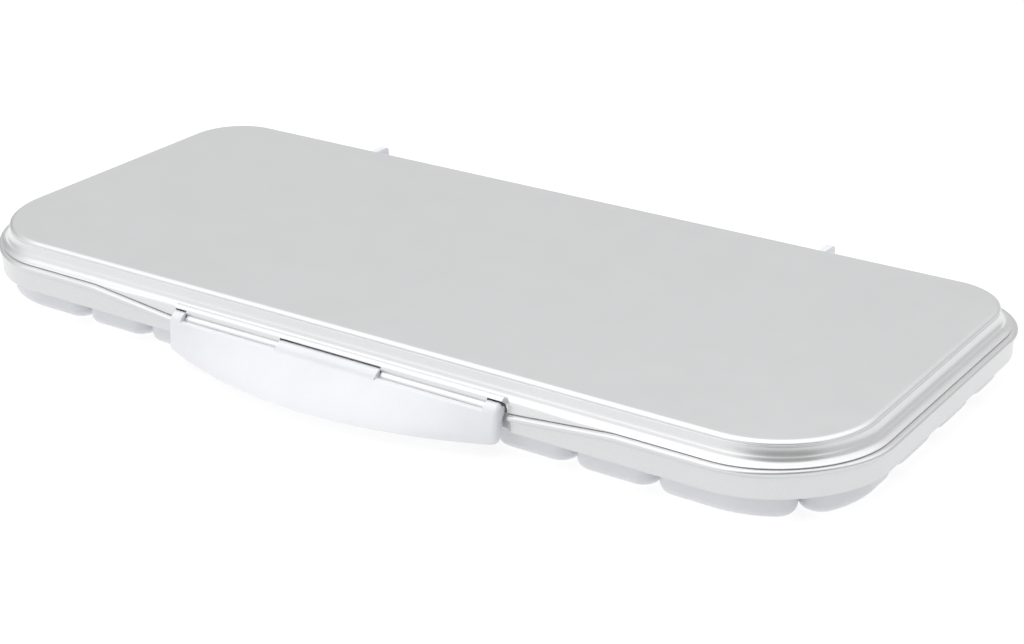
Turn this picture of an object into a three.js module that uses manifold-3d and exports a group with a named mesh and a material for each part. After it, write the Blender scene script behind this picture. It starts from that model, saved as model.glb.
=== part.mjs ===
// Hinged palette case: a shallow box with a ring of small wells round two mixing basins, a lid with a
// mixing surface of its own, a seal between them, two rear hinges and one wide latch flap at the front.
// Millimetres. +X runs along the length, +Y from the latch to the hinges, +Z up. The origin is on the
// table under the middle of the closed case.
import * as THREE from "three";
import { mergeVertices } from "three/addons/utils/BufferGeometryUtils.js";
import Module from "manifold-3d";

// ---- Driving dimensions ----

// The lid's flat top is the base outline. Every other outline is this one grown or shrunk all round.
const TOP_HALF_X = 162.5;
const TOP_HALF_Y = 66.8;
const FRONT_RADIUS = 31.5;
const BACK_RADIUS = 18;
const CASE_HEIGHT = 24;
const CORNER_SEGMENTS = 5;

// The front corners draw in a little where the outline has grown past the lid's wall.
const CORNER_PINCH = 0.42;
const PINCH_FROM = 4;

const GAP = 0.3;
const WALL = 1.4;

// Growths of the outline at the main edges of the section.
const SKIRT_GROW = 6.6;
const BEAD_GROW = 7.6;
const FLANGE_GROW = 5.4;
const REBATE_GROW = 4.0;
const LEDGE_GROW = 2.6;
const TRAY_RIM_GROW = REBATE_GROW - GAP;
const WELL_GROW = 2.2;
const SEAL_OUTER_GROW = 2.9;
const SEAL_INNER_GROW = 0.7;
const LINER_GROW = -1.3;

// Heights of the section.
const SKIRT_BOTTOM = 8.1;
const LEDGE_TOP = 13.2;
const TRAY_RIM_BOTTOM = LEDGE_TOP + GAP;
const TRAY_RIM_TOP = 15.3;
const BEAD_TOP = 17.2;
const LID_BOTTOM = BEAD_TOP + GAP;
const LID_TOP_THICKNESS = 1.6;
const SEAL_TOP = 18;
const LINER_BOTTOM = 16.2;
const LINER_TOP = CASE_HEIGHT - LID_TOP_THICKNESS - GAP;
const LINER_FLOOR = LINER_TOP - 1.2;

// The joint line dips in front of the latch, on a ramp at each end.
const DIP = 3.3;
const DIP_START = 101;
const DIP_END = 66;

// Wells: eight regular ones in the front and back rows, then one at each end up to the corner's
// diagonal. Each side has three walls between its four wells.
const WELL_PITCH = 27.8;
const REGULAR_WELLS = 8;
const SIDE_WALLS_Y = [-21.1, 6.8, 34.5];
const RING_DEPTH = 24;
const WELL_CORNER = 6.5;
const WELL_ROUND = 2.6;
const HOLLOW_ROUND = 2;
const WELL_CLEARANCE = 0.15;
const WELL_FLOOR = 1.4;
const BASIN_FLOOR = 9;
const BASIN_MARGIN = 1.6;
const BASIN_CORNER = 9;
const BASIN_ROUND = 4;

// Latch flap and its rod.
const ROD_Y = -73.7;
const ROD_Z = 14.7;
const ROD_RADIUS = 0.9;
const ROD_HOLE = 1.25;
const LID_KNUCKLE_RADIUS = 1.7;
const LATCH_HALF = 63.6;
const LATCH_MIDDLE_HALF = 19.5;
const LATCH_END_KNUCKLE = 4.8;
const LATCH_FRONT_Y = -77.2;
const LATCH_THICKNESS = 1.8;
const LATCH_TOP = 15.2;
const LATCH_BOTTOM = 5.2;
const LATCH_BULGE = 14.3;
const LATCH_CROWN = 2.7;
const LATCH_SWEEP_RADIUS = 3.4;
const STRIP_Y = -72.4;
const STRIP_Z = 17.2;
const STRIP_RADIUS = 1.9;
const RECESS_HALF = 64.7;
const RECESS_GROW = 5.0;

// Nubs behind the flap stand in front of catch ribs on the base, all centred on one height.
const CATCH_Z = 9.5;
const CATCH_RADIUS = 0.9;
const NUB_ROOT_HALF = 1.9;
const NUB_TIP_HALF = 0.8;

// Rear hinges: the axis lies at half the case's height, so the open lid lies flat beside the base.
const HINGE_Y = 80.5;
const HINGE_Z = CASE_HEIGHT / 2;
const PIN_RADIUS = 1.5;
const PIN_HOLE = 1.9;
const BARREL_RADIUS = 4.2;
const EAR_RADIUS = 5.2;
const EAR_TOP = 22.7;
const EAR_TIP_Y = 69.2;
const EAR_BACK = 77.8;
const BRIDGE_TOP = 20.1;
const EAR_OUTER_X = 95.4;
const EAR_INNER_X = 92.8;
const ARM_OUTER_X = 61.4;
const ARM_INNER_X = 58.6;
const PIN_HEAD_RADIUS = 2.6;
const PIN_HEAD = 1.2;

// The closed case's box, latch and hinge ears included, is centred on the origin.
const CENTRING_Y = 3.05;

// ---- Colours ----

const SILVER = { color: 0xd3d4d6, roughness: 0.38, metalness: 0.55 };
const WHITE = { color: 0xeceef2, roughness: 0.35, metalness: 0 };
const SEAL_GREY = { color: 0xd9dadc, roughness: 0.8, metalness: 0 };
const STEEL = { color: 0xb9bcc0, roughness: 0.3, metalness: 1 };

// ---- Solids and booleans ----

const wasm = await Module();
wasm.setup();

// Turns a closed three.js geometry into a manifold solid.
function solidOf(geometry) {
  const bare = geometry.clone();
  bare.deleteAttribute("normal");
  bare.deleteAttribute("uv");
  const merged = mergeVertices(bare, 1e-4);
  const mesh = new wasm.Mesh({
    numProp: 3,
    vertProperties: new Float32Array(merged.attributes.position.array),
    triVerts: new Uint32Array(merged.index.array),
  });
  return new wasm.Manifold(mesh);
}

// Turns a manifold solid into a named mesh with its own material.
function piece(name, solid, finish) {
  const mesh = solid.getMesh();
  const geometry = new THREE.BufferGeometry();
  geometry.setAttribute("position", new THREE.BufferAttribute(new Float32Array(mesh.vertProperties), 3));
  geometry.setIndex(new THREE.BufferAttribute(new Uint32Array(mesh.triVerts), 1));
  geometry.computeVertexNormals();
  const made = new THREE.Mesh(geometry, new THREE.MeshStandardMaterial(finish));
  made.name = name;
  return made;
}

const joined = (solids) => solids.reduce((whole, next) => whole.add(next));
const cutBy = (solid, tools) => tools.reduce((left, tool) => left.subtract(tool), solid);

// ---- Shapes ----

// The lid's flat top as a closed outline, with extra points along its straight front edge.
function topOutline(frontStops = []) {
  const shape = new THREE.Shape();
  const frontX = TOP_HALF_X - FRONT_RADIUS;
  const backX = TOP_HALF_X - BACK_RADIUS;
  const frontY = -TOP_HALF_Y + FRONT_RADIUS;
  const backY = TOP_HALF_Y - BACK_RADIUS;
  shape.moveTo(-frontX, -TOP_HALF_Y);
  frontStops.forEach((x) => shape.lineTo(x, -TOP_HALF_Y));
  shape.absarc(frontX, frontY, FRONT_RADIUS, -Math.PI / 2, 0, false);
  shape.absarc(backX, backY, BACK_RADIUS, 0, Math.PI / 2, false);
  shape.absarc(-backX, backY, BACK_RADIUS, Math.PI / 2, Math.PI, false);
  shape.absarc(-frontX, frontY, FRONT_RADIUS, Math.PI, 1.5 * Math.PI, false);
  return shape;
}

// The unit direction in which a point of the top outline moves when the outline grows.
function growDirection(x, y) {
  const radius = y < 0 ? FRONT_RADIUS : BACK_RADIUS;
  const centre = new THREE.Vector2(TOP_HALF_X - radius, TOP_HALF_Y - radius);
  const past = new THREE.Vector2(Math.abs(x), Math.abs(y)).sub(centre);
  past.x = Math.max(past.x, 0);
  past.y = Math.max(past.y, 0);
  past.normalize();
  return new THREE.Vector2(past.x * Math.sign(x), past.y * Math.sign(y));
}

// How far a point grows in its own direction: all of the growth, or a little less at a front corner.
function growthAt(growth, y, direction) {
  const slant = y < 0 ? 2 * direction.x * direction.y : 0;
  return growth - CORNER_PINCH * Math.max(0, growth - PINCH_FROM) * slant ** 2;
}

// A solid through outlines of equally many points, given from bottom to top as lists of Vector3.
function loft(layers) {
  const steps = layers.length - 1;
  const first = layers[0].map((point) => new THREE.Vector2(point.x, point.y));
  const geometry = new THREE.ExtrudeGeometry(new THREE.Shape(first), {
    depth: steps,
    steps,
    bevelEnabled: false,
  });
  const points = geometry.attributes.position;
  const here = new THREE.Vector2();
  for (let i = 0; i < points.count; i += 1) {
    here.set(points.getX(i), points.getY(i));
    const index = first.findIndex((point) => point.distanceTo(here) < 1e-3);
    const target = layers[Math.round(points.getZ(i))][index];
    points.setXYZ(i, target.x, target.y, target.z);
  }
  return solidOf(geometry);
}

// A solid whose outline follows a profile of [growth, height] pairs, from its bottom to its top.
// lower(x, y, height) says how far a point sinks below its height.
function stack(profile, frontStops = [], lower = () => 0) {
  const outline = topOutline(frontStops).getPoints(CORNER_SEGMENTS);
  return loft(profile.map(([growth, height]) => (
    outline.map((point) => {
      const direction = growDirection(point.x, point.y);
      const grown = point.clone().addScaledVector(direction, growthAt(growth, point.y, direction));
      return new THREE.Vector3(grown.x, grown.y, height - lower(point.x, point.y, height));
    })
  )));
}

const slab = (growth, bottom, top) => stack([[growth, bottom], [growth, top]]);

// A box from its low corner to its high corner.
function box(low, high) {
  const size = high.map((value, axis) => value - low[axis]);
  const geometry = new THREE.BoxGeometry(...size);
  geometry.translate(...low.map((value, axis) => value + size[axis] / 2));
  return solidOf(geometry);
}

// A round bar along X between two stations.
function barX(radius, y, z, fromX, toX, sides = 16) {
  const geometry = new THREE.CylinderGeometry(radius, radius, toX - fromX, sides);
  geometry.rotateZ(-Math.PI / 2);
  geometry.translate((fromX + toX) / 2, y, z);
  return solidOf(geometry);
}

// Extrudes a section drawn in (y, z) along X. bend(x, y, z) may return a new y.
function extrudeX(section, fromX, toX, steps = 1, bend = (x, y) => y) {
  const geometry = new THREE.ExtrudeGeometry(section, {
    depth: toX - fromX,
    steps,
    bevelEnabled: false,
    curveSegments: 3,
  });
  const points = geometry.attributes.position;
  for (let i = 0; i < points.count; i += 1) {
    const x = points.getZ(i) + fromX;
    const y = points.getX(i);
    const z = points.getY(i);
    points.setXYZ(i, x, bend(x, y, z), z);
  }
  return solidOf(geometry);
}

const sectionOf = (points) => new THREE.Shape(points.map(([y, z]) => new THREE.Vector2(y, z)));

// Moves each edge of a convex counter-clockwise polygon inwards.
function inset(polygon, distance) {
  const lines = polygon.map((start, i) => {
    const along = polygon[(i + 1) % polygon.length].clone().sub(start).normalize();
    const inwards = new THREE.Vector2(-along.y, along.x);
    return { start: start.clone().addScaledVector(inwards, distance), along };
  });
  return lines.map((line, i) => {
    const before = lines[(i + lines.length - 1) % lines.length];
    const between = line.start.clone().sub(before.start);
    const reach = between.cross(line.along) / before.along.cross(line.along);
    return before.start.clone().addScaledVector(before.along, reach);
  });
}

// The points of a convex counter-clockwise polygon whose sharp corners are rounded by arcs.
function roundedPoints(polygon, radius) {
  const shape = new THREE.Shape();
  const gentleTurn = Math.PI / 5;
  polygon.forEach((corner, i) => {
    const arriving = corner.clone().sub(polygon[(i + polygon.length - 1) % polygon.length]);
    const leaving = polygon[(i + 1) % polygon.length].clone().sub(corner);
    const start = arriving.angle() - Math.PI / 2;
    const turn = (leaving.angle() - arriving.angle() + 2 * Math.PI) % (2 * Math.PI);
    if (turn < gentleTurn) {
      if (i === 0) shape.moveTo(corner.x, corner.y);
      else shape.lineTo(corner.x, corner.y);
      return;
    }
    const middle = start + turn / 2;
    const away = radius / Math.cos(turn / 2);
    const outward = new THREE.Vector2(Math.cos(middle), Math.sin(middle));
    const centre = corner.clone().addScaledVector(outward, -away);
    shape.absarc(centre.x, centre.y, radius, start, start + turn, false);
  });
  return shape.getPoints(1);
}

// A tub with upright sides and a rounded bottom edge.
function tub(polygon, cornerRadius, bottom, top, round) {
  const shrink = [
    [round, bottom],
    [round * 0.3, bottom + round * 0.3],
    [0, bottom + round],
    [0, top],
  ];
  return loft(shrink.map(([inwards, height]) => (
    roundedPoints(inset(polygon, inwards), cornerRadius - inwards)
      .map((point) => new THREE.Vector3(point.x, point.y, height))
  )));
}

// Stretches where the latch flap's nubs stand in front of the base's catch ribs.
const snapStretches = [[-52, -42], [42, 52]];

// ---- Base frame ----

// How far the joint line sinks at a point of the outline: only on the front edge, near the latch.
function dipAt(x, y) {
  if (y > -TOP_HALF_Y + FRONT_RADIUS) return 0;
  const ramp = (DIP_START - Math.abs(x)) / (DIP_START - DIP_END);
  return DIP * THREE.MathUtils.clamp(ramp, 0, 1);
}

function baseFrame() {
  const frontStops = [-DIP_START, -DIP_END, DIP_END, DIP_START];
  const beadStart = 15.2;
  const profile = [
    [SKIRT_GROW - 0.6, SKIRT_BOTTOM],
    [SKIRT_GROW - 0.2, SKIRT_BOTTOM + 0.8],
    [SKIRT_GROW, beadStart],
    [BEAD_GROW - 0.2, beadStart + 0.5],
    [BEAD_GROW, beadStart + 1.1],
    [BEAD_GROW - 0.5, BEAD_TOP - 0.3],
    [BEAD_GROW - 1.4, BEAD_TOP],
  ];
  const sinkTop = (x, y, height) => (height < beadStart - 0.1 ? 0 : dipAt(x, y));
  const recessY = -TOP_HALF_Y - RECESS_GROW;
  const aboveDip = new THREE.Shape([
    new THREE.Vector2(-DIP_START, BEAD_TOP),
    new THREE.Vector2(-DIP_END, BEAD_TOP - DIP),
    new THREE.Vector2(DIP_END, BEAD_TOP - DIP),
    new THREE.Vector2(DIP_START, BEAD_TOP),
    new THREE.Vector2(0, BEAD_TOP + 10),
  ]);
  const dipCutter = new THREE.ExtrudeGeometry(aboveDip, { depth: 12, bevelEnabled: false });
  dipCutter.rotateX(Math.PI / 2);
  dipCutter.translate(0, -TOP_HALF_Y - REBATE_GROW + 1, 0);
  const ring = cutBy(stack(profile, frontStops, sinkTop), [
    slab(LEDGE_GROW, 0, CASE_HEIGHT),
    slab(REBATE_GROW, LEDGE_TOP, CASE_HEIGHT),
    solidOf(dipCutter),
    box([-RECESS_HALF, -100, 0], [RECESS_HALF, recessY, CASE_HEIGHT]),
  ]);
  const catchRibs = snapStretches.map(([from, to]) => (
    barX(CATCH_RADIUS, recessY + 0.2, CATCH_Z, from - 2, to + 2, 10)
  ));
  return joined([ring, ...catchRibs]);
}

// ---- Well tray ----

// The plan of each well as a convex polygon, counter-clockwise. The outer arc of a well beside a corner
// is three short chords at the front and one at the back.
function wellPlans() {
  const outerX = TOP_HALF_X + WELL_GROW;
  const outerY = TOP_HALF_Y + WELL_GROW;
  const innerX = outerX - RING_DEPTH;
  const innerY = outerY - RING_DEPTH;
  const endX = (WELL_PITCH * REGULAR_WELLS) / 2;
  const plans = [];
  const add = (points) => plans.push(points.map(([x, y]) => new THREE.Vector2(x, y)));
  const mirrored = (points) => points.map(([x, y]) => [-x, y]).reverse();
  const addBothSides = (points) => {
    add(points);
    add(mirrored(points));
  };
  for (let i = 0; i < REGULAR_WELLS; i += 1) {
    const left = -endX + i * WELL_PITCH;
    const right = left + WELL_PITCH;
    add([[left, -outerY], [right, -outerY], [right, -innerY], [left, -innerY]]);
    add([[left, innerY], [right, innerY], [right, outerY], [left, outerY]]);
  }
  // Points of a corner's outer arc, from the row's end to the diagonal and on to the side.
  const arc = (radius, sign, chords) => {
    const grown = radius + WELL_GROW;
    const centreX = TOP_HALF_X - radius;
    const centreY = sign * (TOP_HALF_Y - radius);
    const at = (degrees) => {
      const angle = THREE.MathUtils.degToRad(degrees);
      return [centreX + grown * Math.sin(angle), centreY + sign * grown * Math.cos(angle)];
    };
    const shares = Array.from({ length: chords + 1 }, (unused, i) => i / chords);
    return {
      rowSide: shares.map((share) => at(45 * share)),
      flankSide: shares.map((share) => at(45 + 45 * share)),
    };
  };
  const front = arc(FRONT_RADIUS, -1, 3);
  const back = arc(BACK_RADIUS, 1, 1);
  addBothSides([[endX, -innerY], [endX, -outerY], ...front.rowSide, [innerX, -innerY]]);
  addBothSides([[endX, outerY], [endX, innerY], [innerX, innerY], ...back.rowSide.slice().reverse()]);
  const [first, middle, last] = SIDE_WALLS_Y;
  addBothSides([[innerX, -innerY], ...front.flankSide, [outerX, first], [innerX, first]]);
  addBothSides([[innerX, first], [outerX, first], [outerX, middle], [innerX, middle]]);
  addBothSides([[innerX, middle], [outerX, middle], [outerX, last], [innerX, last]]);
  addBothSides([[innerX, last], [outerX, last], ...back.flankSide.slice().reverse(), [innerX, innerY]]);
  return plans;
}

function wellTray() {
  const innerX = TOP_HALF_X + WELL_GROW - RING_DEPTH;
  const innerY = TOP_HALF_Y + WELL_GROW - RING_DEPTH;
  const plans = wellPlans();
  const tubs = plans.map((plan) => (
    tub(inset(plan, WELL_CLEARANCE), WELL_CORNER, 0, TRAY_RIM_TOP, WELL_ROUND)
  ));
  const hollows = plans.map((plan) => (
    tub(inset(plan, WELL_CLEARANCE + WALL), WELL_CORNER - WALL, WELL_FLOOR, CASE_HEIGHT, HOLLOW_ROUND)
  ));
  const basins = [-1, 1].map((side) => {
    const from = side < 0 ? -innerX + BASIN_MARGIN : BASIN_MARGIN / 2;
    const to = side < 0 ? -BASIN_MARGIN / 2 : innerX - BASIN_MARGIN;
    const reach = innerY - BASIN_MARGIN;
    const plan = [[from, -reach], [to, -reach], [to, reach], [from, reach]];
    const corners = plan.map(([x, y]) => new THREE.Vector2(x, y));
    return tub(corners, BASIN_CORNER, BASIN_FLOOR, CASE_HEIGHT, BASIN_ROUND);
  });
  const rim = slab(TRAY_RIM_GROW, TRAY_RIM_BOTTOM, TRAY_RIM_TOP);
  const middle = box([-innerX, -innerY, BASIN_FLOOR - WALL], [innerX, innerY, TRAY_RIM_TOP]);
  return cutBy(joined([rim, middle, ...tubs]), [...hollows, ...basins]);
}

// ---- Lid ----

// The solid that hangs from the lid's front edge and follows the dip of the joint line.
function lidCurtain() {
  const outer = -TOP_HALF_Y - FLANGE_GROW;
  const inner = -TOP_HALF_Y - REBATE_GROW - GAP;
  const section = sectionOf([
    [outer - 0.4, LID_BOTTOM],
    [inner, LID_BOTTOM],
    [inner, LID_BOTTOM + 0.5],
    [outer, LID_BOTTOM + 0.3],
  ]);
  const geometry = new THREE.ExtrudeGeometry(section, {
    depth: 3,
    steps: 3,
    bevelEnabled: false,
  });
  const stations = [-DIP_START, -DIP_END, DIP_END, DIP_START];
  const points = geometry.attributes.position;
  for (let i = 0; i < points.count; i += 1) {
    const x = stations[Math.round(points.getZ(i))];
    const y = points.getX(i);
    const z = points.getY(i);
    const sink = z > LID_BOTTOM + 0.1 ? 0 : dipAt(x, -TOP_HALF_Y);
    points.setXYZ(i, x, y, z - sink);
  }
  return solidOf(geometry);
}

// Stretches of the latch line, as [from, to] along X.
const latchStretches = [
  [-LATCH_HALF, -LATCH_HALF + LATCH_END_KNUCKLE],
  [-LATCH_MIDDLE_HALF, LATCH_MIDDLE_HALF],
  [LATCH_HALF - LATCH_END_KNUCKLE, LATCH_HALF],
];
const lidStretches = [
  [-LATCH_HALF + LATCH_END_KNUCKLE + GAP, -LATCH_MIDDLE_HALF - GAP],
  [LATCH_MIDDLE_HALF + GAP, LATCH_HALF - LATCH_END_KNUCKLE - GAP],
];

function lidShell() {
  const profile = [
    [FLANGE_GROW, LID_BOTTOM],
    [FLANGE_GROW, LID_BOTTOM + 0.3],
    [4.1, 18.5],
    [3.1, 19.5],
    [2.8, 19.8],
    [2.0, 22.7],
    [1.7, 23.3],
    [0.9, 23.8],
    [0, CASE_HEIGHT],
  ];
  const strip = barX(STRIP_RADIUS, STRIP_Y, STRIP_Z, -LATCH_HALF, LATCH_HALF, 14);
  const knuckles = lidStretches.map(([from, to]) => barX(LID_KNUCKLE_RADIUS, ROD_Y, ROD_Z, from, to));
  const body = joined([stack(profile), lidCurtain(), strip, ...knuckles]);
  const sealGroove = slab(SEAL_OUTER_GROW + GAP, 0, SEAL_TOP + GAP)
    .subtract(slab(SEAL_INNER_GROW - GAP, -1, CASE_HEIGHT));
  const sweeps = latchStretches.map(([from, to]) => (
    barX(LATCH_SWEEP_RADIUS, ROD_Y, ROD_Z, from - GAP, to + GAP, 20)
  ));
  return cutBy(body, [
    slab(LINER_GROW + GAP, 0, LINER_TOP + GAP),
    sealGroove,
    ...sweeps,
    barX(ROD_HOLE, ROD_Y, ROD_Z, -LATCH_HALF - 5, LATCH_HALF + 5),
  ]);
}

function lidLiner() {
  const outer = slab(LINER_GROW, LINER_BOTTOM, LINER_TOP);
  const hollow = stack([
    [LINER_GROW - WALL, LINER_BOTTOM - 1],
    [LINER_GROW - WALL - 0.4, LINER_FLOOR - 1.6],
    [LINER_GROW - WALL - 1.2, LINER_FLOOR - 0.4],
    [LINER_GROW - WALL - 2.4, LINER_FLOOR],
  ]);
  return outer.subtract(hollow);
}

const lidSeal = () => slab(SEAL_OUTER_GROW, TRAY_RIM_TOP + GAP, SEAL_TOP)
  .subtract(slab(SEAL_INNER_GROW, 0, CASE_HEIGHT));

// ---- Latch ----

// How far the flap's lower edge stands forward at a station, as a share of its full bulge.
const bulgeShare = (x) => 1 - (x / LATCH_HALF) ** 2;

function latchFlap() {
  const inside = LATCH_FRONT_Y + LATCH_THICKNESS;
  const section = sectionOf([
    [LATCH_FRONT_Y + 0.3, LATCH_TOP],
    [LATCH_FRONT_Y, LATCH_TOP - 0.4],
    [LATCH_FRONT_Y - 0.4, 10],
    [LATCH_FRONT_Y - 0.8, LATCH_BOTTOM + 0.6],
    [LATCH_FRONT_Y - 0.3, LATCH_BOTTOM],
    [inside - 0.9, LATCH_BOTTOM],
    [inside - 0.4, LATCH_BOTTOM + 0.6],
    [inside - 0.2, 10],
    [inside, LATCH_TOP],
  ]);
  const bend = (x, y, z) => {
    const down = (LATCH_TOP - z) / (LATCH_TOP - LATCH_BOTTOM);
    return y - LATCH_BULGE * bulgeShare(x) * THREE.MathUtils.clamp(down, 0, 1);
  };
  const plate = extrudeX(section, -LATCH_HALF, LATCH_HALF, 18, bend);
  const knuckle = new THREE.Shape();
  knuckle.moveTo(LATCH_FRONT_Y, LATCH_TOP - 2.6);
  knuckle.absellipse(ROD_Y, ROD_Z, ROD_Y - LATCH_FRONT_Y, LATCH_CROWN, Math.PI, Math.PI / 2, true);
  knuckle.absarc(ROD_Y, ROD_Z, LID_KNUCKLE_RADIUS, Math.PI / 2, -Math.PI / 2, true);
  knuckle.closePath();
  const knuckles = latchStretches.map(([from, to]) => extrudeX(knuckle, from, to));
  const endWall = sectionOf([
    [LATCH_FRONT_Y - 0.6, LATCH_BOTTOM + 0.2],
    [ROD_Y + 0.6, LATCH_BOTTOM + 0.8],
    [ROD_Y + LID_KNUCKLE_RADIUS, ROD_Z - 0.6],
    [ROD_Y, ROD_Z + 0.6],
    [LATCH_FRONT_Y, LATCH_TOP - 1],
  ]);
  const endWalls = [-1, 1].map((side) => {
    const edge = side * LATCH_HALF;
    const inner = edge - side * LATCH_THICKNESS;
    return extrudeX(endWall, Math.min(edge, inner), Math.max(edge, inner));
  });
  const root = LATCH_FRONT_Y + 0.8;
  const tip = -TOP_HALF_Y - RECESS_GROW - 1.2;
  const nubSection = sectionOf([
    [root, CATCH_Z - NUB_ROOT_HALF],
    [tip - 0.4, CATCH_Z - NUB_TIP_HALF],
    [tip, CATCH_Z],
    [tip - 0.4, CATCH_Z + NUB_TIP_HALF],
    [root, CATCH_Z + NUB_ROOT_HALF],
  ]);
  const bendRoot = (x, y, z) => (y < root + 0.1 ? bend(x, y, z) : y);
  const nubs = snapStretches.map(([from, to]) => extrudeX(nubSection, from, to, 4, bendRoot));
  const whole = joined([plate, ...knuckles, ...endWalls, ...nubs]);
  return whole.subtract(barX(ROD_HOLE, ROD_Y, ROD_Z, -LATCH_HALF - 5, LATCH_HALF + 5));
}

const latchRod = () => barX(ROD_RADIUS, ROD_Y, ROD_Z, -LATCH_HALF + 0.6, LATCH_HALF - 0.6, 12);

// ---- Rear hinges ----

// The hinge pieces are made for the right-hand hinge. side -1 mirrors them.
function hingeX(section, fromX, toX, side) {
  return side > 0 ? extrudeX(section, fromX, toX) : extrudeX(section, -toX, -fromX);
}

function hingeBore(radius) {
  return barX(radius, HINGE_Y, HINGE_Z, -120, 120);
}

function lidHingeArm(side) {
  const seatY = TOP_HALF_Y + FLANGE_GROW + GAP;
  const seatZ = LID_BOTTOM + 0.1;
  const footY = seatY - 2.4;
  const bridge = sectionOf([
    [seatY, seatZ],
    [seatY + 3, seatZ],
    [seatY + 3, BRIDGE_TOP],
    [footY, BRIDGE_TOP],
    [footY, BRIDGE_TOP - 0.2],
  ]);
  const cornerRadius = 1.6;
  const ear = new THREE.Shape();
  ear.moveTo(EAR_TIP_Y, EAR_TOP);
  ear.lineTo(footY, BRIDGE_TOP);
  ear.lineTo(seatY, seatZ);
  ear.lineTo(HINGE_Y - EAR_RADIUS, seatZ);
  ear.absarc(HINGE_Y, HINGE_Z, EAR_RADIUS, Math.PI, 2 * Math.PI, false);
  ear.lineTo(HINGE_Y + EAR_RADIUS * 0.87, HINGE_Z + EAR_RADIUS * 0.5);
  ear.lineTo(HINGE_Y + EAR_RADIUS * 0.6, HINGE_Z + EAR_RADIUS * 0.8);
  ear.lineTo(EAR_BACK + 0.7, seatZ + 1);
  ear.lineTo(EAR_BACK, seatZ + 1.9);
  ear.absarc(EAR_BACK - cornerRadius, EAR_TOP - cornerRadius, cornerRadius, 0, Math.PI / 2, false);
  ear.closePath();
  const arm = new THREE.Shape();
  arm.moveTo(footY, BRIDGE_TOP - 0.2);
  arm.lineTo(seatY, seatZ);
  arm.lineTo(HINGE_Y - BARREL_RADIUS, seatZ - 1);
  arm.absarc(HINGE_Y, HINGE_Z, BARREL_RADIUS, Math.PI, 2.35 * Math.PI, false);
  arm.lineTo(seatY + 2, BRIDGE_TOP);
  arm.lineTo(footY, BRIDGE_TOP);
  arm.closePath();
  const whole = joined([
    hingeX(bridge, ARM_INNER_X, EAR_OUTER_X, side),
    hingeX(ear, EAR_INNER_X, EAR_OUTER_X, side),
    hingeX(arm, ARM_INNER_X, ARM_OUTER_X, side),
  ]);
  return whole.subtract(hingeBore(PIN_HOLE));
}

function baseHingeBracket(side) {
  const seatY = TOP_HALF_Y + SKIRT_GROW + GAP;
  const seatHalf = 2.6;
  const rootHalf = 3.4;
  const web = sectionOf([
    [seatY, HINGE_Z - seatHalf],
    [HINGE_Y, HINGE_Z - rootHalf],
    [HINGE_Y, HINGE_Z + rootHalf],
    [seatY, HINGE_Z + seatHalf],
  ]);
  const fromX = ARM_OUTER_X + GAP;
  const toX = EAR_INNER_X - GAP;
  const barrel = side > 0
    ? barX(BARREL_RADIUS, HINGE_Y, HINGE_Z, fromX, toX)
    : barX(BARREL_RADIUS, HINGE_Y, HINGE_Z, -toX, -fromX);
  return hingeX(web, fromX, toX, side).add(barrel).subtract(hingeBore(PIN_HOLE));
}

function hingePin(side) {
  const tip = ARM_INNER_X - 0.8;
  const head = EAR_OUTER_X + GAP;
  const stations = [[PIN_RADIUS, tip, head + 0.5], [PIN_HEAD_RADIUS, head, head + PIN_HEAD]];
  return joined(stations.map(([radius, from, to]) => (
    side > 0
      ? barX(radius, HINGE_Y, HINGE_Z, from, to)
      : barX(radius, HINGE_Y, HINGE_Z, -to, -from)
  )));
}

// ---- The case ----

const base = new THREE.Group();
base.add(piece("base_frame", baseFrame(), SILVER));
base.add(piece("well_tray", wellTray(), WHITE));

const lid = new THREE.Group();
lid.add(piece("lid_shell", lidShell(), SILVER));
lid.add(piece("lid_liner", lidLiner(), WHITE));
lid.add(piece("lid_seal", lidSeal(), SEAL_GREY));
lid.add(piece("latch_rod", latchRod(), STEEL));

const latch = new THREE.Group();
latch.add(piece("latch_flap", latchFlap(), WHITE));

for (const [word, side] of [["left", -1], ["right", 1]]) {
  base.add(piece(`base_hinge_bracket_${word}`, baseHingeBracket(side), WHITE));
  base.add(piece(`hinge_pin_${word}`, hingePin(side), STEEL));
  lid.add(piece(`lid_hinge_arm_${word}`, lidHingeArm(side), WHITE));
}

lid.add(latch);
const closedCase = new THREE.Group();
closedCase.add(base, lid);
closedCase.position.y = CENTRING_Y;

const paletteCase = new THREE.Group();
paletteCase.add(closedCase);

export default paletteCase;
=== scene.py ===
import math
from collections import namedtuple

import bmesh
import bpy
from mathutils import Matrix, Vector
from mathutils.geometry import tessellate_polygon


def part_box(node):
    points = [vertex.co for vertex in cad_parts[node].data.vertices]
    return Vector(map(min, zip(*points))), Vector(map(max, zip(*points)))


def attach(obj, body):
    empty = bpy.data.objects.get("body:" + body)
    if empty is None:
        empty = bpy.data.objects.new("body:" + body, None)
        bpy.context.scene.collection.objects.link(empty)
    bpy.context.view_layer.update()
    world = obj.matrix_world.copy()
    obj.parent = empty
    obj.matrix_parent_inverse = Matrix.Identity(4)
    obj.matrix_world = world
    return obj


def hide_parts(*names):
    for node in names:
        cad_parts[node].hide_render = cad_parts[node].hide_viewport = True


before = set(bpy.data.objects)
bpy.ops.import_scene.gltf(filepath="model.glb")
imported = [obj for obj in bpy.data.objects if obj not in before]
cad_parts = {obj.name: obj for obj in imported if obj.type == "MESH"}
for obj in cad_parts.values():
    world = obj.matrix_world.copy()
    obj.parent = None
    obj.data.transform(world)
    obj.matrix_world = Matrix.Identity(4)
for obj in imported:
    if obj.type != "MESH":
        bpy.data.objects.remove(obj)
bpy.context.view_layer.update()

# ---- Sizes ----

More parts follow.
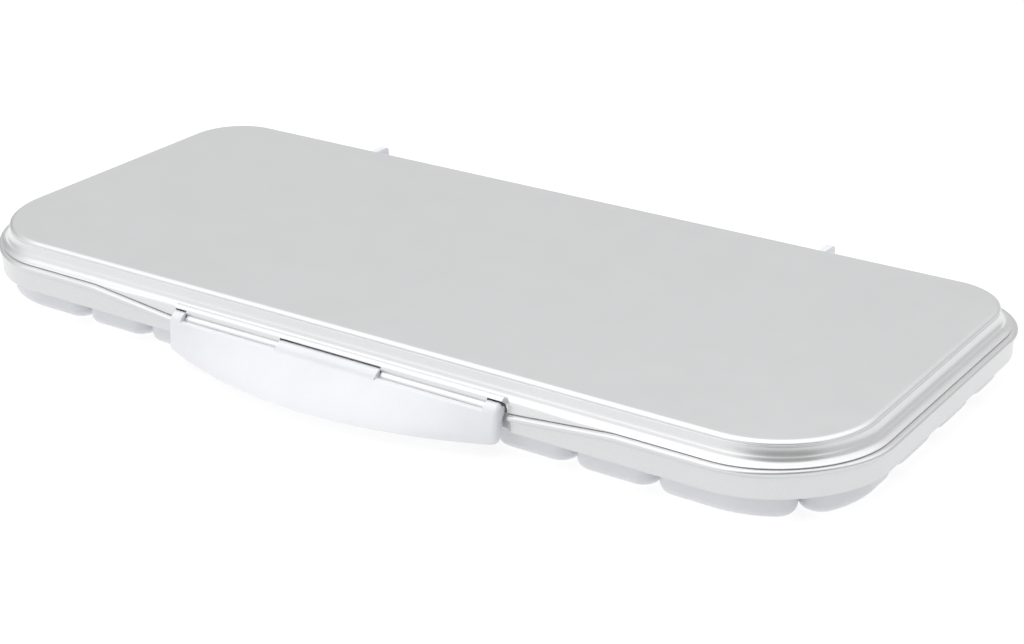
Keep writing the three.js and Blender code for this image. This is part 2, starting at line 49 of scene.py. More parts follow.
MM = 0.001
FRONT_RADIUS = 31.5
BACK_RADIUS = 18
BEAD_GROW = 7.6
SKIRT_GROW = 6.6
FLANGE_GROW = 5.4
LIP_GROW = 4.3
CORNER_PINCH = 0.42
PINCH_FROM = 4
GAP = 0.3
WALL = 1.4
EDGE_BEVEL = 0.4


def box_mm(node):
    """A CAD node's lowest and highest corner in millimetres."""
    low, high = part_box(node)
    return low / MM, high / MM


base_low, base_high = box_mm("base_frame")
tray_low, tray_high = box_mm("well_tray")
lid_high = box_mm("lid_shell")[1]
liner_low, liner_high = box_mm("lid_liner")
seal_low, seal_high = box_mm("lid_seal")
flap_low, flap_high = box_mm("latch_flap")
arm_low, arm_high = box_mm("lid_hinge_arm_right")
bracket_low, bracket_high = box_mm("base_hinge_bracket_right")
pin_low, pin_high = box_mm("hinge_pin_right")
rod_low, rod_high = box_mm("latch_rod")

CENTRE_Y = (base_low.y + base_high.y) / 2
HALF_X = base_high.x - BEAD_GROW
HALF_Y = (base_high.y - base_low.y) / 2 - BEAD_GROW
CASE_TOP = lid_high.z
BEAD_TOP = base_high.z
SKIRT_BOTTOM = base_low.z
LID_BOTTOM = BEAD_TOP + GAP

# The joint line dips in front of the latch, on a ramp at each end.
DIP = 3.3
DIP_START = 101
DIP_END = 66
RECESS_HALF = 64.7
RECESS_GROW = 5.0
REBATE_GROW = 4.0
LEDGE_GROW = 2.6
LEDGE_TOP = 13.2
CATCH_HEIGHT = 9.5

# The latch hangs on a rod. These are growths and heights on the front edge. STRIP_CUT is the angle, in
# degrees, at which the strip's round meets the circle swept by the latch.
ROD = (6.9, (rod_low.z + rod_high.z) / 2)
ROD_RADIUS = (rod_high.z - rod_low.z) / 2
LID_KNUCKLE = 1.6
FLAP_KNUCKLE = 1.7
SWEEP = 3.4
STRIP = (5.7, 17.25)
STRIP_RADIUS = 1.75
STRIP_CUT = 28.4
LATCH_HALF = flap_high.x
LATCH_FRONT = 10.4
LATCH_TOP = 15.2
LATCH_BOTTOM = flap_low.z
LATCH_BULGE = 14.3
LATCH_THICK = 1.8
LATCH_CROWN = 2.7
MIDDLE_KNUCKLE = 19.5
END_KNUCKLE = LATCH_HALF - 4.8

# Wells.
WELL_GROW = 2.2
WELL_PITCH = 27.8
REGULAR_WELLS = 8
SIDE_WALLS_Y = (-21.1, 6.8, 34.5)
RING_DEPTH = 24
WELL_CORNER = 6.5
WELL_CLEAR = 0.15
WELL_ROUND = 2.6
HOLLOW_ROUND = 2.8
RIM_BOTTOM = LEDGE_TOP + GAP
BASIN_FLOOR = 9
BASIN_ROUND = 4.4

# Rear hinges.
HINGE_Y = 80.5
HINGE_Z = (pin_low.z + pin_high.z) / 2


# ---- Mesh helpers ----

def skin(loops, ring=False):
    """Closed surface over a row of loops of equally many points: capped at its ends, or a ring."""
    count = len(loops[0])
    points = [point for loop in loops for point in loop]
    faces = []
    rows = len(loops) if ring else len(loops) - 1
    for i in range(rows):
        here = i * count
        there = (i + 1) % len(loops) * count
        for j in range(count):
            k = (j + 1) % count
            faces.append((here + j, there + j, there + k, here + k))
    if not ring:
        faces.append(tuple(range(count)))
        faces.append(tuple(reversed(range(len(points) - count, len(points)))))
    return points, faces


def add_piece(name, shells, node, body, material, sharp=35, bevel=0):
    """One object made of closed shells that stands for a CAD node and rides on its body."""
    bm = bmesh.new()
    for points, faces in shells:
        made = [bm.verts.new(((x * MM), (y + CENTRE_Y) * MM, z * MM)) for x, y, z in points]
        for face in faces:
            bm.faces.new([made[i] for i in face])
        bmesh.ops.remove_doubles(bm, verts=made, dist=1e-4 * MM)
    bmesh.ops.dissolve_degenerate(bm, edges=bm.edges, dist=1e-4 * MM)
    bmesh.ops.recalc_face_normals(bm, faces=bm.faces)
    mesh = bpy.data.meshes.new(name)
    bm.to_mesh(mesh)
    bm.free()
    mesh.shade_smooth()
    mesh.set_sharp_from_angle(angle=math.radians(sharp))
    mesh.materials.append(material)
    obj = bpy.data.objects.new(name, mesh)
    bpy.context.scene.collection.objects.link(obj)
    if bevel:
        rounding = obj.modifiers.new("Rounded edges", "BEVEL")
        rounding.width = bevel * MM
        rounding.segments = 3
        rounding.limit_method = "ANGLE"
        rounding.angle_limit = math.radians(45)
        rounding.harden_normals = True
    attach(obj, body)
    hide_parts(node)
    return obj


def arc(centre, radius, start, end, steps):
    """Points on a circle or, with a pair of radii, on an ellipse. Angles are in degrees."""
    across, up = radius if isinstance(radius, tuple) else (radius, radius)
    turns = [math.radians(start + (end - start) * i / steps) for i in range(steps + 1)]
    return [(centre[0] + across * math.cos(a), centre[1] + up * math.sin(a)) for a in turns]


def curve(start, pull, end, steps):
    """Points on a quadratic curve."""
    made = []
    for i in range(steps + 1):
        t = i / steps
        made.append(tuple(
            (1 - t) ** 2 * a + 2 * t * (1 - t) * b + t * t * c for a, b, c in zip(start, pull, end)
        ))
    return made


def resample(path, count):
    """The path again, as evenly spaced points."""
    lengths = [0]
    for a, b in zip(path, path[1:]):
        lengths.append(lengths[-1] + math.dist(a, b))
    made = []
    step = 0
    for i in range(count):
        at = lengths[-1] * i / (count - 1)
        while step < len(path) - 2 and lengths[step + 1] < at:
            step += 1
        span = lengths[step + 1] - lengths[step]
        share = (at - lengths[step]) / span if span else 0
        made.append(tuple(a + (b - a) * share for a, b in zip(path[step], path[step + 1])))
    return made


def mix(first, second, share):
    """Points between two paths of equally many points."""
    return [
        tuple(a + (b - a) * share for a, b in zip(p, q)) for p, q in zip(first, second)
    ]


def smooth(low, high, value):
    """0 below low, 1 above high, with a smooth passage."""
    t = min(max((value - low) / (high - low), 0), 1)
    return t * t * (3 - 2 * t)


def spread(start, end, step):
    """Evenly spaced numbers from start to end, both included."""
    steps = max(1, round(abs(end - start) / step))
    return [start + (end - start) * i / steps for i in range(steps + 1)]


# ---- Outline of the case ----

Station = namedtuple("Station", "x y out_x out_y zone")


def stations(front_half=((0, "plain"),)):
    """Places round the lid's flat top, counter-clockwise. front_half lists (x, zone) from the
    middle of the front edge. A zone is a word, or how far the skirt is drawn in there."""
    made = []
    left_half = [(-x, zone) for x, zone in reversed(front_half)]
    for x, zone in left_half[:-1] + list(front_half):
        made.append(Station(x, -HALF_Y, 0, -1, zone))
    corners = [
        (1, -1, FRONT_RADIUS, -90, 30),
        (1, 1, BACK_RADIUS, 0, 22),
        (-1, 1, BACK_RADIUS, 90, 22),
        (-1, -1, FRONT_RADIUS, 180, 30),
    ]
    for side_x, side_y, radius, start, steps in corners:
        for i in range(steps + 1):
            turn = math.radians(start + 90 * i / steps)
            out_x = math.cos(turn)
            out_y = math.sin(turn)
            x = side_x * (HALF_X - radius) + radius * out_x
            y = side_y * (HALF_Y - radius) + radius * out_y
            made.append(Station(x, y, out_x, out_y, "plain"))
    return made


def plain_half(start):
    """Plain places along the front edge from start to the corner, close together where the dip ends."""
    places = spread(start, DIP_START - 2.5, 4)
    places += spread(DIP_START - 2, DIP_START + 2, 0.5)
    places += spread(DIP_START + 5, HALF_X - FRONT_RADIUS - 2, 6)
    return [(x, "plain") for x in places]


def place(station, grow, height):
    """A point outside the flat top. The front corners draw in a little past the lid's wall."""
    if station.y < 0 and grow > PINCH_FROM:
        slant = 2 * station.out_x * station.out_y
        grow -= CORNER_PINCH * (grow - PINCH_FROM) * slant ** 2
    return (station.x + station.out_x * grow, station.y + station.out_y * grow, height)


def front_point(x, grow, height):
    """A point given by growth on the front edge."""
    return (x, -HALF_Y - grow, height)


def dip(station):
    """How far the joint line sinks: only on the front edge, with eased corners on its ramps."""
    if station.out_y > -1:
        return 0
    ease = 0.06
    t = (DIP_START - abs(station.x)) / (DIP_START - DIP_END)
    if t <= -ease:
        return 0
    if t < ease:
        return DIP * (t + ease) ** 2 / (4 * ease)
    if t < 1 - ease:
        return DIP * t
    if t < 1 + ease:
        return DIP * (1 - (1 + ease - t) ** 2 / (4 * ease))
    return DIP


def dish(places, section_of):
    """A closed surface whose open sections run from the middle of the top to the middle below."""
    sections = [[place(s, *pair) for pair in section_of(s)] for s in places]
    return skin([list(loop) for loop in zip(*sections)])


def hoop(places, section_of):
    """A closed ring round the case with a closed section at each station."""
    return skin([[place(s, *pair) for pair in section_of(s)] for s in places], ring=True)


# ---- Base frame ----

def base_section(station):
    """The rim's section: rolled bead on top, upright skirt, turned lower edge, ledge inside."""
    sink = dip(station)
    top = [(REBATE_GROW, BEAD_TOP - 0.25 - sink), (REBATE_GROW + 0.25, BEAD_TOP - sink)]
    outside = arc((6.4, BEAD_TOP - 0.95 - sink), (1.2, 0.95), 90, -48, 11)
    outside += [(6.75, 15.46 - sink), (6.5, 15.3 - sink)]
    outside += [(6.5, 15.1 - sink), (6.58, 14.9 - sink), (6.56, 14.2 - sink)]
    outside += [(6.52, 12.4), (6.47, 10.8), (6.46, 10.0), (6.5, 9.4)]
    outside += arc((5.7, SKIRT_BOTTOM + 0.8), 0.8, 0, -90, 5)
    inside = [(3.0, SKIRT_BOTTOM), (LEDGE_GROW, SKIRT_BOTTOM + 0.4), (LEDGE_GROW, LEDGE_TOP - 0.2)]
    inside += [(LEDGE_GROW + 0.2, LEDGE_TOP), (REBATE_GROW, LEDGE_TOP)]
    if station.zone == "recess":
        return recess_outside(len(top + outside)) + inside
    inwards = 0 if station.zone == "plain" else station.zone
    drawn_in = [(max(grow - inwards, REBATE_GROW + GAP), z) for grow, z in outside]
    return top + drawn_in + inside


def recess_outside(count):
    """The rim's top and outside behind the latch flap: flat and upright, as count points."""
    top = BEAD_TOP - DIP
    flat = [(REBATE_GROW, top - 0.25), (REBATE_GROW + 0.2, top)]
    front = [(REBATE_GROW + GAP, top)] + arc((RECESS_GROW - 0.3, top - 0.3), 0.3, 90, 0, 4)
    front += [(RECESS_GROW, 12.0), (RECESS_GROW, 10.0), (RECESS_GROW, SKIRT_BOTTOM + 0.4)]
    front += [(RECESS_GROW - 0.4, SKIRT_BOTTOM)]
    return flat + resample(front, count - len(flat))


def base_frame(material):
    edge = 1.5
    half = [(x, "recess") for x in spread(0, RECESS_HALF, 11)]
    for i in range(7):
        turn = math.radians(15 * i)
        inwards = edge * (1 - math.sin(turn))
        half.append((RECESS_HALF + edge * (1 - math.cos(turn)), inwards))
    half += plain_half(RECESS_HALF + edge + 0.4)
    shells = [hoop(stations(half), base_section)]
    for side in (-1, 1):
        rib = []
        for x, radius in ((40, 0.2), (40.3, 0.65), (41, 0.9), (53, 0.9), (53.7, 0.65), (54, 0.2)):
            loop = arc((RECESS_GROW - 0.2, CATCH_HEIGHT), radius, 0, 360, 20)[:-1]
            rib.append([front_point(side * x, grow, z) for grow, z in loop])
        shells.append(skin(rib))
    return add_piece("base_frame_fine", shells, "base_frame", "base", material)


# ---- Lid ----

def lid_lip(station):
    """The lip outside the flange, and the way back under it. Near the latch it carries the strip,
    with knuckles round the latch rod."""
    sink = dip(station)
    reach = 5.6 + 0.2 * sink / DIP
    under = BEAD_TOP + 0.12 - sink
    plain_out = curve((4.6, 17.86), (5.1, 17.72), (5.45, 17.6 - sink * 0.35), 6)
    plain_out += [(reach, under + 0.1), (reach - 0.1, under)]
    plain_in = [(reach - 0.1, under), (LIP_GROW + 0.1, under), (LIP_GROW, LID_BOTTOM)]
    outer_count = 36
    strip_count = 14
    inner_count = 7
    outer = resample(plain_out, outer_count)
    inner = resample(plain_in, inner_count)
    if station.zone == "plain":
        return outer, inner
    strip = resample(arc(STRIP, STRIP_RADIUS, 132, STRIP_CUT, 20), strip_count)
    if station.zone == "knuckle":
        below = arc(STRIP, STRIP_RADIUS, 22, -33.7, 8)
        knuckle = arc(ROD, LID_KNUCKLE, 80.8, -150, 20)
        outer = strip + resample(below + knuckle, outer_count - strip_count)
        below_lip = [knuckle[-1], (5.1, 14.2), (LIP_GROW, 14.2), (LIP_GROW, LID_BOTTOM)]
        inner = resample(below_lip, inner_count)
        return outer, inner
    over = resample(arc(ROD, SWEEP, 85.5, 125, 10), outer_count - strip_count)
    sweep = arc(ROD, SWEEP, 126, 139.9, 4)
    share = smooth(LATCH_HALF + GAP / 2, RECESS_HALF, abs(station.x))
    outer = mix(strip + over, outer, share)
    inner = mix(resample(sweep + [(LIP_GROW, LID_BOTTOM)], inner_count), inner, share)
    return outer, inner


def lid_section(station):
    """From the middle of the flat top over the rolled edge and down the outside, then the inside."""
    roll = arc((0, CASE_TOP - 1), (1.8, 1), 90, 0, 10)
    foot = [(1.74, 22.86), (1.56, 22.74), (1.6, 22.6), (1.74, 22.5)]
    wall = curve((1.78, 22.4), (2.1, 20.6), (2.78, 19.75), 8)
    step = [(2.9, 19.6), (3.0, 19.4)]
    flange = curve((3.12, 19.2), (3.45, 18.4), (4.25, 18.02), 7)
    groove_share = 0
    if station.zone != "plain":
        groove_share = 1 - smooth(LATCH_HALF - 1.5, LATCH_HALF + 0.5, abs(station.x))
    flat = [(4.32, 17.98), (4.4, 17.94), (4.5, 17.9)]
    cut = [(4.3, 17.72), (4.4, 17.7), (4.46, 18.3)]
    groove = mix(flat, cut, groove_share)
    outer, inner = lid_lip(station)
    seal_groove = [(3.2, LID_BOTTOM), (3.2, 18.3), (0.4, 18.3), (0.4, LID_BOTTOM)]
    cavity = [(-0.8, LID_BOTTOM), (-1.0, LID_BOTTOM + 0.2), (-1.0, 22.0), (-1.4, 22.4), (-2.0, 22.4)]
    middle = [(-0.8, CASE_TOP)]
    return middle + roll + foot + wall + step + flange + groove + outer + inner + seal_groove + cavity


def lid_shell(material):
    change_middle = MIDDLE_KNUCKLE + GAP / 2
    change_end = END_KNUCKLE - GAP / 2
    half = [(x, "latch") for x in spread(0, change_middle, 7)]
    half += [(x, "knuckle") for x in spread(change_middle, change_end, 8)]
    half += [(x, "latch") for x in spread(change_end, LATCH_HALF - 1.8, 1.3)]
    half += [(x, "latch") for x in spread(LATCH_HALF - 1.6, RECESS_HALF, 0.2)]
    half += plain_half(RECESS_HALF + 0.4)
    shells = [dish(stations(half), lid_section)]
    return add_piece("lid_shell_fine", shells, "lid_shell", "lid", material)


def lid_liner(material):
    """The thin white pan that lines the lid and serves as its mixing surface."""
    grow = liner_high.x - HALF_X
    top = liner_high.z
    bottom = liner_low.z
    ceiling = top - 1.2

    def section(station):
        upper = arc((grow - 0.5, top - 0.5), 0.5, 90, 0, 4)
        lower = arc((grow - 0.4, bottom + 0.4), 0.4, 0, -90, 4)
        lip = arc((grow - WALL + 0.4, bottom + 0.4), 0.4, -90, -180, 4)
        within = grow - WALL
        inner = curve((within, ceiling - 3.4), (within - 0.3, ceiling), (within - 3.6, ceiling), 8)
        return [(grow - 1.2, top)] + upper + lower + lip + inner + [(within - 4.4, ceiling)]

    shells = [dish(stations(), section)]
    return add_piece("lid_liner_fine", shells, "lid_liner", "lid", material)


def lid_seal(material):
    """The soft ring that closes on the tray's rim, with a rounded lip below."""
    outer = seal_high.x - HALF_X
    inner = outer - 2.2
    bottom = seal_low.z
    top = seal_high.z

    def section(station):
        lip = arc(((outer + inner) / 2, bottom + 0.9), ((outer - inner) / 2, 0.9), 0, -180, 10)
        upper = [(inner, top - 0.2), (inner + 0.2, top), (outer - 0.2, top), (outer, top - 0.2)]
        return upper + lip

    return add_piece(
        "lid_seal_fine", [hoop(stations(), section)], "lid_seal", "lid", material
    )


# ---- Latch ----

def bulge(x, height):
    """How far the flap stands forward of its top edge."""
    down = (LATCH_TOP - height) / (LATCH_TOP - LATCH_BOTTOM)
    return LATCH_BULGE * (1 - (x / LATCH_HALF) ** 2) * min(max(down, 0), 1)


def flap_loop(x, raised, end):
    """The flap's section at x: a plate, with a knuckle round the rod where raised is 1.
    end, from 0 to 1, draws it in."""
    back = end * 1.2
    front = LATCH_FRONT - back
    inside = LATCH_FRONT - LATCH_THICK
    low = LATCH_BOTTOM + end * 0.8
    face = [(front - 0.25, low), (front + 0.45, low + 0.25), (front + 0.72, low + 0.8)]
    face += [(front + 0.6, 8.2), (front + 0.45, 10.2), (front + 0.2, 12.4), (front, 14.2)]
    crown = ROD[1] + LATCH_CROWN - end * 1.3
    dome = [(ROD[0] + (front - ROD[0]) * math.cos(a), ROD[1] + (crown - ROD[1]) * math.sin(a))
            for a in (math.radians(9 * i) for i in range(11))]
    behind = arc(ROD, FLAP_KNUCKLE, 90, 240, 12)
    behind = [(grow, min(z, crown)) for grow, z in behind]
    knuckle = dome + behind + [(inside - 1.2, 12.2), (inside, 11.8)]
    rounded = arc((front - 0.45, LATCH_TOP - 0.45), 0.45, 0, 90, 5)
    plain = [(front, 14.6)] + rounded
    plain += [(inside + 0.2, LATCH_TOP), (inside, LATCH_TOP - 0.2), (inside, 11.8)]
    count = 26
    top = mix(resample(plain, count), resample(knuckle, count), raised)
    rear = [(inside - 0.1, 10.2), (inside - 0.2, 8.2), (inside - 0.3, low + 0.8)]
    rear += [(inside - 0.2, low + 0.2), (inside + 0.2, low)]
    loop = face + top + rear
    return [front_point(x, grow + bulge(x, z), z) for grow, z in loop]


def flap_end_wall(side):
    """The thin wall that closes an end of the flap back to the rod."""
    rows = ((0.5, 0.5), (0.9, 0.1), (2.2, 0.1), (2.4, 0.4))
    wall = []
    for from_end, trim in rows:
        loop = [
            (LATCH_FRONT - 1.6, LATCH_BOTTOM + 1.2 + trim),
            (ROD[0] - 0.6 + trim, LATCH_BOTTOM + 0.8 + trim),
            (ROD[0] - FLAP_KNUCKLE + trim, ROD[1] - 0.6),
            (ROD[0], ROD[1] + 1.2 - trim),
            (LATCH_FRONT - 1.6, LATCH_TOP - 1),
        ]
        wall.append([front_point(side * (LATCH_HALF - from_end), grow, z) for grow, z in loop])
    return skin(wall)


def flap_nub(side):
    """The nub behind the flap that faces a catch rib."""
    root = LATCH_FRONT - 0.8
    tip = RECESS_GROW + 1.2
    root_low = CATCH_HEIGHT - 1.9
    root_high = CATCH_HEIGHT + 1.9
    nub = []
    for x, trim in ((42, 0.6), (42.5, 0), (44.5, 0), (47, 0), (49.5, 0), (51.5, 0), (52, 0.6)):
        near = tip + trim
        loop = [
            (near + 0.4, CATCH_HEIGHT - 0.8),
            (near, CATCH_HEIGHT - 0.3),
            (near, CATCH_HEIGHT + 0.3),
            (near + 0.4, CATCH_HEIGHT + 0.8),
            (root + bulge(x, root_high), root_high),
            (root + bulge(x, root_low), root_low),
        ]
        nub.append([front_point(side * x, grow, z) for grow, z in loop])
    return skin(nub)


def latch_flap(material):
    radius = 1.2
    edge = 0.25
    ends = []
    for i in range(9):
        turn = math.radians(90 * i / 8)
        ends.append((LATCH_HALF - radius + radius * math.sin(turn), 1, 1 - math.cos(turn)))
    half = [(x, 1, 0) for x in spread(0, MIDDLE_KNUCKLE, 3.2)]
    half += [(MIDDLE_KNUCKLE, 0, 0)]
    half += [(x, 0, 0) for x in spread(MIDDLE_KNUCKLE + 2, END_KNUCKLE, 3.2)]
    half += [(END_KNUCKLE, 1, 0), (END_KNUCKLE + edge, 1, 0)] + ends
    left_half = [(-x, raised, end) for x, raised, end in reversed(half)]
    shells = [skin([flap_loop(*row) for row in left_half[:-1] + half])]
    for side in (-1, 1):
        shells += [flap_end_wall(side), flap_nub(side)]
    return add_piece("latch_flap_fine", shells, "latch_flap", "latch", material)


def round_bar(rings, y, z):
    """A turned bar along X from (x, radius) pairs."""
    count = 32
    loops = []
    for x, radius in rings:
        loops.append([(x, a, b) for a, b in arc((y, z), radius, 0, 360, count)[:-1]])
    return skin(loops)


def latch_rod(material):
    end = rod_high.x
    tip = 0.3
    half = [(end - tip, ROD_RADIUS), (end, ROD_RADIUS - tip)]
    rings = [(-x, radius) for x, radius in reversed(half)] + half
    bar = round_bar(rings, -HALF_Y - ROD[0], ROD[1])
    return add_piece("latch_rod_fine", [bar], "latch_rod", "lid", material)


# ---- Well tray ----

def straight(start, end):
    return ("line", Vector(start), Vector(end))


def bow(centre, radius):
    return ("arc", Vector(centre), radius)


def outward(edge, point):
    """The angle in degrees of an edge's outward direction, at a point."""
    if edge[0] == "line":
        along = edge[2] - edge[1]
        return math.degrees(math.atan2(-along.x, along.y))
    away = point - edge[1]
    return math.degrees(math.atan2(away.y, away.x))


def rounding_centre(first, second, near):
    """The centre of the corner rounding that touches two edges from inside."""
    if first[0] == "arc":
        first, second = second, first
    along = (first[2] - first[1]).normalized()
    inwards = Vector((-along.y, along.x))
    start = first[1] + inwards * WELL_CORNER
    if second[0] == "line":
        other = (second[2] - second[1]).normalized()
        other_start = second[1] + Vector((-other.y, other.x)) * WELL_CORNER
        between = other_start - start
        reach = (between.x * other.y - between.y * other.x) / (along.x * other.y - along.y * other.x)
        return start + along * reach
    from_centre = start - second[1]
    half = from_centre.dot(along)
    root = math.sqrt(half ** 2 - from_centre.length_squared + (second[2] - WELL_CORNER) ** 2)
    choices = [start + along * (-half + sign * root) for sign in (-1, 1)]
    return min(choices, key=lambda point: (point - near).length)


def plan_arcs(edges, corners):
    """A cell's plan as arcs (centre, radius, start, end): its rounded corners and its bowed edges.
    corners holds, for each edge, its end point, or None where it runs on smoothly into the next."""
    count = len(edges)
    rounds = []
    for i, corner in enumerate(corners):
        following = edges[(i + 1) % count]
        if corner is None:
            joint = outward(edges[i] if edges[i][0] == "line" else following, None)
            rounds.append((None, joint, joint))
            continue
        centre = rounding_centre(edges[i], following, Vector(corner))
        rounds.append((centre, outward(edges[i], centre), outward(following, centre)))
    arcs = []
    for i, edge in enumerate(edges):
        centre, start, end = rounds[i]
        if edge[0] == "arc":
            from_angle = rounds[i - 1][2]
            arcs.append((edge[1], edge[2], from_angle, from_angle + (start - from_angle) % 360, 10))
        if centre is not None:
            arcs.append((centre, WELL_CORNER, start, start + (end - start) % 360, 8))
    return arcs


def plan_points(arcs, inwards):
    """A cell's outline, drawn in by a distance."""
    made = []
    for centre, radius, start, end, steps in arcs:
        made += arc(centre, radius - inwards, start, end, steps)
    return made


def polygon_cell(points):
    """A cell with straight sides and rounded corners."""
    points = [Vector(point) for point in points]
    following = points[1:] + points[:1]
    edges = [straight(a, b) for a, b in zip(points, following)]
    return plan_arcs(edges, following)


def mirrored(arcs):
    """The same cell on the other side of the case."""
    made = []
    for centre, radius, start, end, steps in reversed(arcs):
        made.append((Vector((-centre.x, centre.y)), radius, 180 - end, 180 - start, steps))
    return made


def box_corners(low_x, low_y, high_x, high_y):
    return [(low_x, low_y), (high_x, low_y), (high_x, high_y), (low_x, high_y)]


def well_cells():
    """Plans of the wells: eight in each row, one at each row end, four on each side."""
    outer_x = HALF_X + WELL_GROW
    outer_y = HALF_Y + WELL_GROW
    inner_x = outer_x - RING_DEPTH
    inner_y = outer_y - RING_DEPTH
    end_x = WELL_PITCH * REGULAR_WELLS / 2
    cells = []
    for i in range(REGULAR_WELLS):
        left = -end_x + i * WELL_PITCH
        right = left + WELL_PITCH
        cells.append(polygon_cell(box_corners(left, -outer_y, right, -inner_y)))
        cells.append(polygon_cell(box_corners(left, inner_y, right, outer_y)))
    sides = []
    for radius, sign in ((FRONT_RADIUS, -1), (BACK_RADIUS, 1)):
        grown = radius + WELL_GROW
        centre = (HALF_X - radius, sign * (HALF_Y - radius))
        lean = grown * math.sqrt(0.5)
        tip = (centre[0] + lean, centre[1] + sign * lean)
        inner = (inner_x, sign * inner_y)
        wall_y = SIDE_WALLS_Y[0] if sign < 0 else SIDE_WALLS_Y[-1]
        row_end = [
            (straight((end_x, sign * inner_y), (end_x, sign * outer_y)), (end_x, sign * outer_y)),
            (straight((end_x, sign * outer_y), (centre[0], sign * outer_y)), None),
            (bow(centre, grown), tip),
            (straight(tip, inner), inner),
            (straight(inner, (end_x, sign * inner_y)), (end_x, sign * inner_y)),
        ]
        flank = [
            (straight(inner, tip), tip),
            (bow(centre, grown), None),
            (straight((outer_x, centre[1]), (outer_x, wall_y)), (outer_x, wall_y)),
            (straight((outer_x, wall_y), (inner_x, wall_y)), (inner_x, wall_y)),
            (straight((inner_x, wall_y), inner), inner),
        ]
        for cell in (row_end, flank):
            if sign > 0:
                cell = turned_round(cell)
            sides.append(plan_arcs([edge for edge, corner in cell], [corner for edge, corner in cell]))
    first, middle, last = SIDE_WALLS_Y
    for low, high in ((first, middle), (middle, last)):
        sides.append(polygon_cell(box_corners(inner_x, low, outer_x, high)))
    for side in sides:
        cells += [side, mirrored(side)]
    return cells


def turned_round(cell):
    """The same edges in the opposite order, each running the other way."""
    edges = [("line", edge[2], edge[1]) if edge[0] == "line" else edge for edge, corner in cell]
    corners = [corner for edge, corner in cell]
    edges.reverse()
    corners = corners[:-1][::-1] + corners[-1:]
    return list(zip(edges, corners))


class Surface:
    """Points and faces of one mesh, added loop by loop."""

    def __init__(self):
        self.points = []
        self.faces = []

    def loop(self, outline, height):
        start = len(self.points)
        self.points += [(x, y, height) for x, y in outline]
        return list(range(start, len(self.points)))

    def wall(self, first, second):
        for i in range(len(first)):
            k = (i + 1) % len(first)
            self.faces.append((first[i], first[k], second[k], second[i]))

    def plate(self, outer, holes):
        loops = [outer] + holes
        flat = [i for loop in loops for i in loop]
        outlines = [[Vector(self.points[i]) for i in loop] for loop in loops]
        self.faces += [tuple(flat[i] for i in face) for face in tessellate_polygon(outlines)]

    def tub(self, top, plan_at, base_inset, bottom, rounding, steps=9):
        """Walls from a loop down to a flat bottom, with a rounded lower edge."""
        before = top
        for i in range(steps + 1):
            a = math.radians(90 * i / steps)
            inwards = base_inset + rounding * (1 - math.cos(a))
            now = self.loop(plan_at(inwards), bottom + rounding * (1 - math.sin(a)))
            self.wall(before, now)
            before = now
        self.faces.append(tuple(before))


def box_plan(low_x, high_x, reach_y, radius):
    """Plan of an upright box with rounded corners, as a function of how far it is inset."""
    corners = [
        (high_x, -reach_y, -90),
        (high_x, reach_y, 0),
        (low_x, reach_y, 90),
        (low_x, -reach_y, 180),
    ]

    def at(inwards):
        made = []
        for x, y, start in corners:
            centre = (x - math.copysign(radius, x - (low_x + high_x) / 2), y - math.copysign(radius, y))
            made += arc(centre, radius - inwards, start, start + 90, 8)
        return made

    return at


def well_tray(material):
    """The white tray: a rim plate, 28 tubs below it, their hollows and two mixing basins."""
    surface = Surface()
    cells = well_cells()
    rim_top = tray_high.z
    floor = tray_low.z
    rim_grow = tray_high.x - HALF_X
    lip = 0.7
    flat_margin = 0.2
    places = stations()
    inner_x = HALF_X + WELL_GROW - RING_DEPTH
    inner_y = HALF_Y + WELL_GROW - RING_DEPTH

    def rim(grow, height):
        return surface.loop([place(s, grow, 0)[:2] for s in places], height)

    def lipped_hollow(plan_at, base_inset, bottom, rounding):
        """A hollow whose upper edge is rounded: returns the loop that bounds the plate."""
        first = surface.loop(plan_at(base_inset - lip - flat_margin), rim_top)
        before = first
        for i in range(6):
            a = math.radians(18 * i)
            inwards = base_inset - lip * (1 - math.sin(a))
            now = surface.loop(plan_at(inwards), rim_top - lip * (1 - math.cos(a)))
            surface.wall(before, now)
            before = now
        surface.tub(before, plan_at, base_inset, bottom, rounding)
        return first

    def plan_of(cell):
        return lambda inwards: plan_points(cell, inwards)

    holes = []
    for cell in cells:
        holes.append(lipped_hollow(plan_of(cell), WELL_CLEAR + WALL, floor + WALL, HOLLOW_ROUND))
    margin = 1.6
    spare = 1
    for low_x, high_x in ((-inner_x + margin, -margin / 2), (margin / 2, inner_x - margin)):
        plan = box_plan(low_x - spare, high_x + spare, inner_y - margin + spare, 10)
        holes.append(lipped_hollow(plan, spare, BASIN_FLOOR, BASIN_ROUND))

    edge = 0.5
    top_outer = rim(rim_grow - edge - flat_margin, rim_top)
    surface.plate(top_outer, holes)
    before = top_outer
    for i in range(6):
        a = math.radians(18 * i)
        now = rim(rim_grow - edge * (1 - math.sin(a)), rim_top - edge * (1 - math.cos(a)))
        surface.wall(before, now)
        before = now
    bottom_outer = rim(rim_grow, RIM_BOTTOM)
    surface.wall(before, bottom_outer)

    under = []
    for cell in cells:
        plan = plan_of(cell)
        top = surface.loop(plan(WELL_CLEAR), RIM_BOTTOM)
        under.append(top)
        surface.tub(top, plan, WELL_CLEAR, floor, WELL_ROUND, steps=10)
    middle = box_plan(-inner_x, inner_x, inner_y, 3)
    top = surface.loop(middle(0), RIM_BOTTOM)
    under.append(top)
    surface.tub(top, middle, 0, BASIN_FLOOR - WALL, 1.2, steps=4)
    surface.plate(bottom_outer, under)
    shell = (surface.points, surface.faces)
    return add_piece("well_tray_fine", [shell], "well_tray", "base", material, sharp=40)


# ---- Rear hinges ----

def across(outline, x):
    """An outline drawn in (y, z), at a place along X."""
    return [(x, y, z) for y, z in outline]


